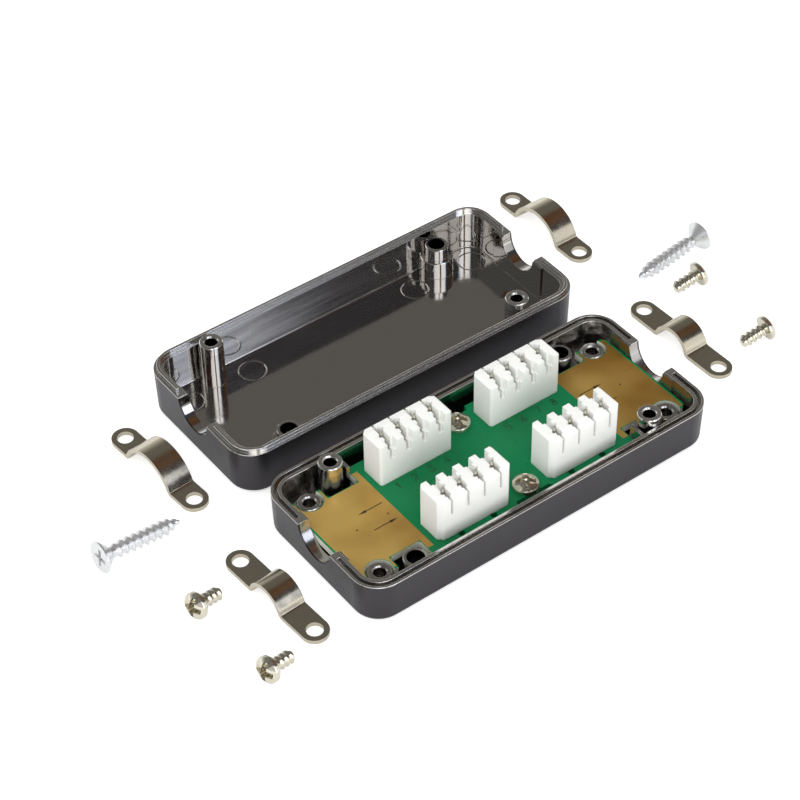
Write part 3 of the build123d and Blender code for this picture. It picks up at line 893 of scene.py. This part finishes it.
    def build(self, etched_and_hole_shade: bpy.types.Material, masked: bpy.types.Material) -> None:
        """Lays the marks on the board.

        Args:
            etched_and_hole_shade: finish of the arrows, and of the dots as painted shade in the holes.
            masked: finish of the numbers.
        """
        marks = [grid for tail, tip in self.arrows for grid in self.arrow(tail, tip)]
        # The dots are dark discs: painted shade where the plated holes are.
        piece("board_arrows_and_hole_shades", marks + [self.dot(middle) for middle in self.dots], etched_and_hole_shade)
        slots = [side * self.block_x + (i - 1.5) * self.slot_pitch for side in (-1, 1) for i in range(4)]
        numbers = [self.number(i + 1, x, y) for y in (-self.number_y, self.number_y)
                   for i, x in enumerate(slots)]
        piece("board_numbers", numbers, masked)


# Studio


@dataclass(frozen=True)
class Lamp:
    """Square, white, soft lamp that metal doesn't mirror. Lengths in metres.

    Attributes:
        name: name of the lamp.
        place: where it hangs.
        size: side of the square.
        watts: power.
    """

    name: str
    place: tuple[float, float, float]
    size: float
    watts: float

    def build(self, aim: tuple[float, float, float]) -> None:
        """Makes the lamp.

        Args:
            aim: where it points.
        """
        data = bpy.data.lights.new(self.name, "AREA")
        data.size = self.size
        data.energy = self.watts
        lamp = bpy.data.objects.new(self.name, data)
        lamp.visible_glossy = False
        turn = (Vector(aim) - Vector(self.place)).to_track_quat("-Z", "Y").to_matrix().to_4x4()
        lamp.matrix_world = Matrix.Translation(self.place) @ turn
        bpy.context.scene.collection.objects.link(lamp)


@dataclass(frozen=True)
class Studio:
    """Plain pale floor, soft lamps and the camera at the photograph's angle. Lengths in mm but for the lamps.

    Attributes:
        azimuth: turn of the camera about Z, in degrees.
        elevation: height of the camera above the horizon, in degrees.
        roll: turn of the picture, in degrees.
        aim_right: how far right of the frame's origin the camera points.
        aim_up: how far above it in the picture.
        distance: distance of the camera.
        lens: focal length for a 36 mm sensor.
        ceiling: what metal mirrors overhead: lean from the zenith in degrees, front to back, and colour.
        warm_side: sideways part of the direction at which the colours overhead start and are full.
        softboxes: what metal mirrors in front, up high: sideways part of the direction, and colour.
        softbox_strength: how much brighter than white the softboxes are.
        softbox_top: lean in degrees at which the softboxes are full, and where they end, straight ahead.
        softbox_slant: how many degrees their top drops from straight ahead to the far right.
        horizon: height of the mirrored direction at which white starts to give way, and where it ends.
        horizon_strength: how bright the white is down there.
        ambient: even light on everything that isn't a mirror.
        camera_glow: how much the floor gains where the camera sees it.
        mirror_glow: how much it gains where metal mirrors it.
        floor_half: half side of the floor.
        paper: sRGB hex colour of the floor.
        clip: nearest and farthest distance that the camera sees.
        lamps: the lamps.
        lamp_aim: where all lamps point, in metres.
    """

    azimuth: float = -36.117
    elevation: float = 43.404
    roll: float = -1.032
    aim_right: float = -18.323
    aim_up: float = 15.738
    distance: float = 484.78
    lens: float = 107.66
    ceiling: tuple[tuple[float, str], ...] = (
        (-90, "#4C4A4E"), (-32, "#4C4A4E"), (-14, "#6B4F38"), (8, "#5E412C"),
        (24, "#72706C"), (52, "#72706C"), (70, "#C8C6C0"), (90, "#FFFFFF"))
    warm_side: tuple[float, float] = (0.12, 0.28)
    softboxes: tuple[tuple[float, str], ...] = ((-1.0, "#7A7A7A"), (-0.72, "#7A7A7A"), (-0.66, "#383838"),
                                                (-0.60, "#D6D9E0"), (-0.22, "#EAEAEA"), (-0.16, "#282828"),
                                                (-0.08, "#282828"), (-0.02, "#EAEAEA"), (0.36, "#DEE8FF"),
                                                (0.385, "#E6EEFF"), (0.406, "#303032"), (0.437, "#242426"),
                                                (0.453, "#4A4A4C"), (0.475, "#2C2C2E"), (0.495, "#A8A8A8"),
                                                (1.0, "#808080"))
    softbox_strength: float = 3.3
    softbox_top: tuple[float, float] = (-43.2, -40.0)
    softbox_slant: float = 11.5
    horizon: tuple[float, float] = (0.04, 0.16)
    horizon_strength: float = 1.5
    ambient: float = 0.92
    camera_glow: float = 0.55
    mirror_glow: float = 0.2
    floor_half: float = 3000.0
    paper: str = "#E8E8E8"
    clip: tuple[float, float] = (10.0, 20000.0)
    lamps: tuple[Lamp, ...] = (Lamp("key", (-0.75, 0.1, 0.75), 0.6, 1.0),
                               Lamp("fill", (-0.35, -0.95, 0.3), 0.7, 4.6),
                               Lamp("rim", (0.2, 0.9, 0.7), 0.5, 0.5))
    lamp_aim: tuple[float, float, float] = (0.0, 0.02, 0.0)

    def camera(self) -> None:
        """Makes the camera, turned from azimuth, elevation and roll and moved back along its own axis."""
        a, e, r = (math.radians(v) for v in (self.azimuth, self.elevation, self.roll))
        back = Vector((math.sin(a) * math.cos(e), -math.cos(a) * math.cos(e), math.sin(e)))
        right = Vector((math.cos(a), math.sin(a), 0))
        up = back.cross(right)
        right, up = right * math.cos(r) + up * math.sin(r), up * math.cos(r) - right * math.sin(r)
        data = bpy.data.cameras.new("camera")
        data.lens = self.lens
        data.clip_start, data.clip_end = (v * MM for v in self.clip)
        camera = bpy.data.objects.new("camera", data)
        place = (right * self.aim_right + up * self.aim_up + back * self.distance) * MM
        camera.matrix_world = Matrix.Translation(place) @ Matrix((right, up, back)).transposed().to_4x4()
        bpy.context.scene.collection.objects.link(camera)
        bpy.context.scene.camera = camera

    def world(self) -> None:
        """Studio that metal mirrors: white low down all round and in front, brown and grey overhead.

        The colour overhead follows the lean of the mirrored direction from the zenith, front to back: the
        arc tangent of its Y over its Z.
        """
        world = bpy.data.worlds.new("studio")
        bpy.context.scene.world = world
        world.use_nodes = True
        tree = world.node_tree
        tree.nodes.clear()
        way = add_node(tree, "ShaderNodeTexCoord").outputs["Generated"]
        axes = add_node(tree, "ShaderNodeSeparateXYZ", {}, {0: way}).outputs
        lean = add_node(tree, "ShaderNodeMath", {}, {0: axes["Y"], 1: axes["Z"]},
                        operation="ARCTAN2").outputs[0]

        quarter = math.pi / 2
        overhead = ramp(tree, lean, -quarter, quarter, tuple((math.radians(d), c) for d, c in self.ceiling))
        warmth = add_node(tree, "ShaderNodeMapRange",
                          {"From Min": self.warm_side[0], "From Max": self.warm_side[1],
                           "To Min": 0.0, "To Max": 1.0},
                          {"Value": axes["X"]}, interpolation_type="SMOOTHSTEP")
        overhead = add_node(tree, "ShaderNodeHueSaturation", {},
                            {"Saturation": warmth.outputs[0], "Color": overhead}).outputs[0]

        across = ramp(tree, axes["X"], -1.0, 1.0, self.softboxes)
        bright = add_node(tree, "ShaderNodeVectorMath", {"Scale": self.softbox_strength}, {0: across},
                          operation="SCALE")
        slanted = add_node(tree, "ShaderNodeMath", {1: math.radians(self.softbox_slant)},
                           {0: axes["X"], 2: lean}, operation="MULTIPLY_ADD")
        full, ended = (math.radians(v) for v in self.softbox_top)
        front = add_node(tree, "ShaderNodeMapRange",
                         {"From Min": full, "From Max": ended, "To Min": 1.0, "To Max": 0.0},
                         {"Value": slanted.outputs[0]}, interpolation_type="SMOOTHSTEP")
        overhead = add_node(tree, "ShaderNodeMix", {},
                            {0: front.outputs[0], 6: overhead, 7: bright.outputs[0]}, data_type="RGBA")

        low = add_node(tree, "ShaderNodeMapRange",
                       {"From Min": self.horizon[0], "From Max": self.horizon[1],
                        "To Min": 1.0, "To Max": 0.0},
                       {"Value": axes["Z"]}, interpolation_type="SMOOTHSTEP")
        mirrored = add_node(tree, "ShaderNodeMix", {7: (*[self.horizon_strength] * 3, 1)},
                            {0: low.outputs[0], 6: overhead.outputs[2]}, data_type="RGBA")

        # Mirrors see all that, other surfaces an even light, and the camera plain white
        by_camera, by_mirror = ray_kinds(tree)
        level = add_node(tree, "ShaderNodeMix", {6: (*[self.ambient] * 3, 1)},
                         {0: by_mirror, 7: mirrored.outputs[2]}, data_type="RGBA")
        level = add_node(tree, "ShaderNodeMix", {7: (1, 1, 1, 1)}, {0: by_camera, 6: level.outputs[2]},
                         data_type="RGBA")
        sky = add_node(tree, "ShaderNodeBackground", {"Strength": 1.0}, {"Color": level.outputs[2]})
        add_node(tree, "ShaderNodeOutputWorld", {}, {"Surface": sky.outputs[0]})

    def floor(self) -> None:
        """Matt white paper that keeps the object's soft shadow and glows a little, so that it stays white."""
        half = self.floor_half * MM
        mesh = bpy.data.meshes.new("floor")
        mesh.from_pydata([(-half, -half, 0), (half, -half, 0), (half, half, 0), (-half, half, 0)], [],
                         [(0, 1, 2, 3)])
        floor = bpy.data.objects.new("floor", mesh)
        bpy.context.scene.collection.objects.link(floor)
        made = bpy.data.materials.new("matt_white_paper")
        made.use_nodes = True
        tree = made.node_tree
        tree.nodes.clear()
        by_camera, by_mirror = ray_kinds(tree)
        mirror = add_node(tree, "ShaderNodeMath", {1: self.mirror_glow}, {0: by_mirror}, operation="MULTIPLY")
        lift = add_node(tree, "ShaderNodeMath", {1: self.camera_glow}, {0: by_camera, 2: mirror.outputs[0]},
                        operation="MULTIPLY_ADD")
        paper = add_node(tree, "ShaderNodeBsdfDiffuse", {"Color": linear(self.paper)})
        glow = add_node(tree, "ShaderNodeEmission", {"Color": (1, 1, 1, 1)}, {"Strength": lift.outputs[0]})
        both = add_node(tree, "ShaderNodeAddShader", {}, {0: paper.outputs[0], 1: glow.outputs[0]})
        add_node(tree, "ShaderNodeOutputMaterial", {}, {"Surface": both.outputs[0]})
        mesh.materials.append(made)

    def build(self) -> None:
        """Makes the camera, the world, the floor and the lamps."""
        bpy.context.scene.view_settings.view_transform = "Standard"
        self.camera()
        self.world()
        self.floor()
        for lamp in self.lamps:
            lamp.build(self.lamp_aim)


# One pixel of the photograph's view is 0.2 mm, so real grain of a few hundredths can't show. It is drawn
# 0.4 to 1.5 pixels wide, where it softens what the surface mirrors.

# Zinc plated on rolled steel and passivated: a pale, bluish gleam that breaks up on the thread
ZINC = Finish("bright_zinc_plated_steel", "#E8E9EA", metallic=0.8, roughness=0.3, roughness_spread=0.08,
              grain_mm=0.2, grain_height_mm=0.002, patch_mm=1.5, edge_mm=0.05)
# Nickel on punched and bent steel strip: warm dark and light bands along the arch, barely blurred
NICKEL = Finish("nickel_plated_steel", "#C6BEAC", metallic=1.0, roughness=0.2, roughness_spread=0.06,
                grain_mm=0.1, grain_height_mm=0.0012, patch_mm=2.0, edge_mm=0.08)
# Bright nickel on cold-headed screws: small, sharp glints on dome, cross and thread
BRIGHT_NICKEL = Finish("bright_nickel_plated_steel", "#DAD5C4", metallic=0.95, roughness=0.15,
                       roughness_spread=0.05, grain_mm=0.1, grain_height_mm=0.001, patch_mm=1.0, edge_mm=0.04)
# Tin on stamped bronze: a soft grey gleam on the tips in the slots
TIN = Finish("tinned_bronze_strip", "#D8D3C2", metallic=0.8, roughness=0.3, roughness_spread=0.06,
             grain_mm=0.08, grain_height_mm=0.001, patch_mm=1.0, edge_mm=0.03)
# Polyester from a fine-textured mould: milky white with rounded light edges and no sharp glints
WHITE = Finish("white_moulded_polyester", "#F4F5F1", metallic=0.0, roughness=0.42, roughness_spread=0.05,
               grain_mm=0.15, grain_height_mm=0.001, patch_mm=3.0, edge_mm=0.1, gloss=0.5, sinking=0.5)
# Glass epoxy under a coat of solder mask, gilded at both ends: deep even green and dull, clouded gold
BOARD = SolderMask("green_solder_masked_board", "#007A4A", metallic=0.0, roughness=0.34,
                   roughness_spread=0.08, grain_mm=0.3, grain_height_mm=0.0015, patch_mm=4.0,
                   edge_mm=0.03, gloss=0.25)
# Laminate laid bare by etching: thin dark brown lines that don't shine. The same dark brown on the dots is
# painted shade in the plated holes
ETCHED_AND_HOLE_SHADE = Finish("dark_laminate_lines_and_painted_hole_shade", "#3A2610", metallic=0.0, roughness=0.5)
# Copper lines under the mask: a darker green than the board, with the same soft gloss
MASKED = Finish("copper_lines_under_solder_mask", "#002E18", metallic=0.0, roughness=0.35)
# Plastic plated with dark nickel: satin from the spark-eroded mould outside, a near mirror inside
BASE_SHELL = MetallisedPlastic("dark_nickel_plated_plastic_base", "#4A484B", metallic=1.0, roughness=0.34,
                               grain_mm=0.18, grain_height_mm=0.0008, edge_mm=0.14, inside_roughness=0.18,
                               ripple_height_mm=0.008)
LID_SHELL = MetallisedPlastic("dark_nickel_plated_plastic_lid", "#4A484B", metallic=1.0, roughness=0.34,
                              grain_mm=0.18, grain_height_mm=0.0008, edge_mm=0.14, rim_mm=10.7)


@dataclass
class Kit:
    """The whole kit: which finish goes on which CAD node, and the pieces added to them.

    Attributes:
        nodes: CAD nodes by name.
    """

    nodes: dict[str, bpy.types.Object]

    def paint(self, material: bpy.types.Material, *prefixes: str) -> None:
        """Puts a material on every CAD node whose name starts with one of the prefixes.

        Args:
            material: finish.
            prefixes: starts of the node names.
        """
        for name, node in self.nodes.items():
            if name.startswith(prefixes):
                node.data.materials.clear()
                node.data.materials.append(material)
                log.info("%s: %s", name, material.name)

    def dress(self) -> None:
        """Dresses the CAD nodes and builds the screws and the print."""
        low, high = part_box("lid_shell")
        middle = tuple(((low + high) / 2 / MM)[:2])
        self.paint(BASE_SHELL.material(), "base_shell")
        self.paint(replace(LID_SHELL, centre_mm=middle).material(), "lid_shell")
        self.paint(BOARD.material(), "circuit_board")
        self.paint(WHITE.material(), "terminal_block")
        self.paint(TIN.material(), "contact")
        self.paint(NICKEL.material(), "wide_clamp", "narrow_clamp")
        Fasteners().build(ZINC.material(), BRIGHT_NICKEL.material())
        BoardPrint().build(ETCHED_AND_HOLE_SHADE.material(), MASKED.material())


def main() -> None:
    logging.basicConfig(level=logging.INFO, format="%(message)s")
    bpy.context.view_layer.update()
    Studio().build()
    Kit(frame["nodes"]).dress()


if __name__ == "__main__":
    main()
